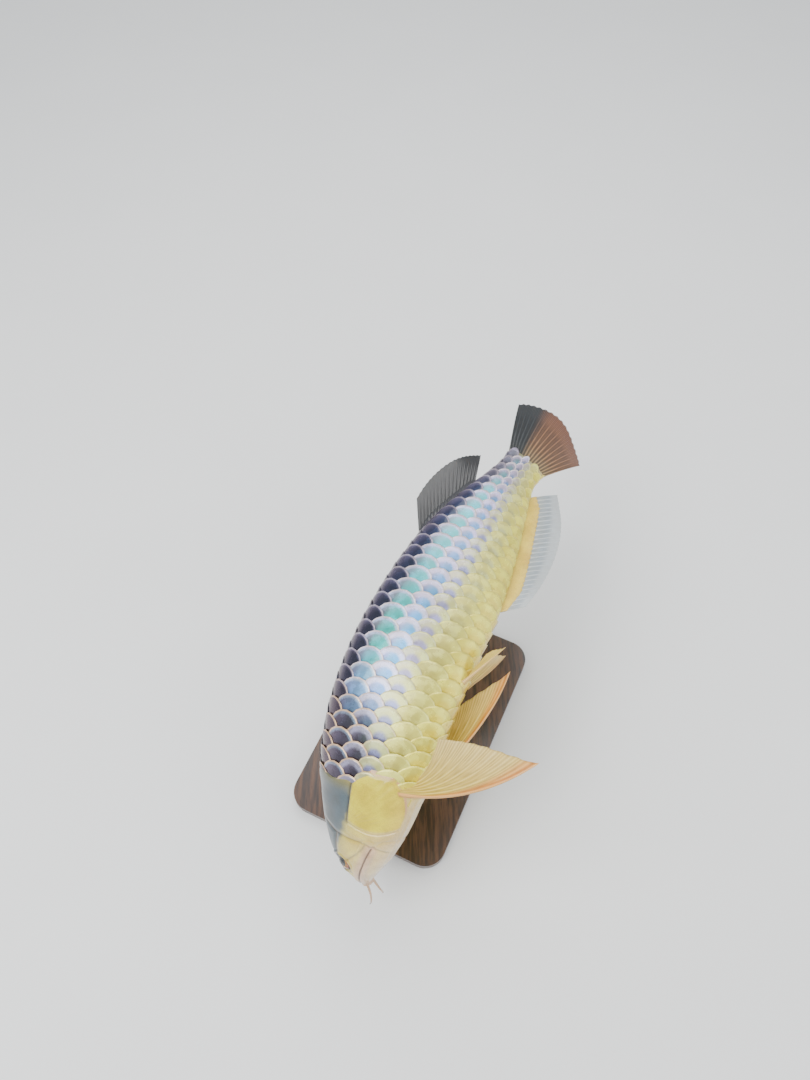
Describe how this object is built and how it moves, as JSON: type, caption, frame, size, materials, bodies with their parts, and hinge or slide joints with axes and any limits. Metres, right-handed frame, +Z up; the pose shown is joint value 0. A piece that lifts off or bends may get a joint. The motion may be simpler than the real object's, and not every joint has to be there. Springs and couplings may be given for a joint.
{
  "type": "asian arowana model",
  "caption": "Life-size still model of an asian arowana, arched with its left flank up, with large plate scales, barbels and rayed fins, held on a plain display stand by rods.",
  "frame": {"origin": "on the floor, under the middle of the whole model's box", "axes": "+Z up, +Y from the head toward the tail, +X toward the belly; the left flank faces up"},
  "size_m": [0.3448, 0.547, 0.282],
  "materials": {
    "head_skin": "wet, pale yellow below and dark grey on the crown",
    "scales": "pearly, teal to pale yellow cores with pale pink rims",
    "gill_cover": "glossy golden yellow",
    "eye": "clear and glossy",
    "dark_fin": "satin, dark and slightly translucent",
    "pale_fin": "satin, cream with an orange edge, slightly translucent",
    "stand_wood": "dark stained, satin varnish",
    "stand_steel": "brushed"
  },
  "bodies": {
    "root": {"head": "head_skin", "jaw_lower": "head_skin", "gill_cover_left": "gill_cover", "gill_cover_right": "gill_cover", "eye_left": "eye", "eye_right": "eye", "barbel_left": "head_skin", "barbel_right": "head_skin", "trunk_front": "scales", "trunk_middle": "scales", "trunk_rear": "scales", "tail_stalk": "scales", "dorsal_fin": "dark_fin", "anal_fin": "pale_fin", "caudal_fin": "dark_fin", "pectoral_fin_left": "pale_fin", "pectoral_fin_right": "pale_fin", "pelvic_fin_left": "pale_fin", "pelvic_fin_right": "pale_fin", "stand_base": "stand_wood", "stand_rod_front": "stand_steel", "stand_rod_rear": "stand_steel"}
  },
  "joints": []
}
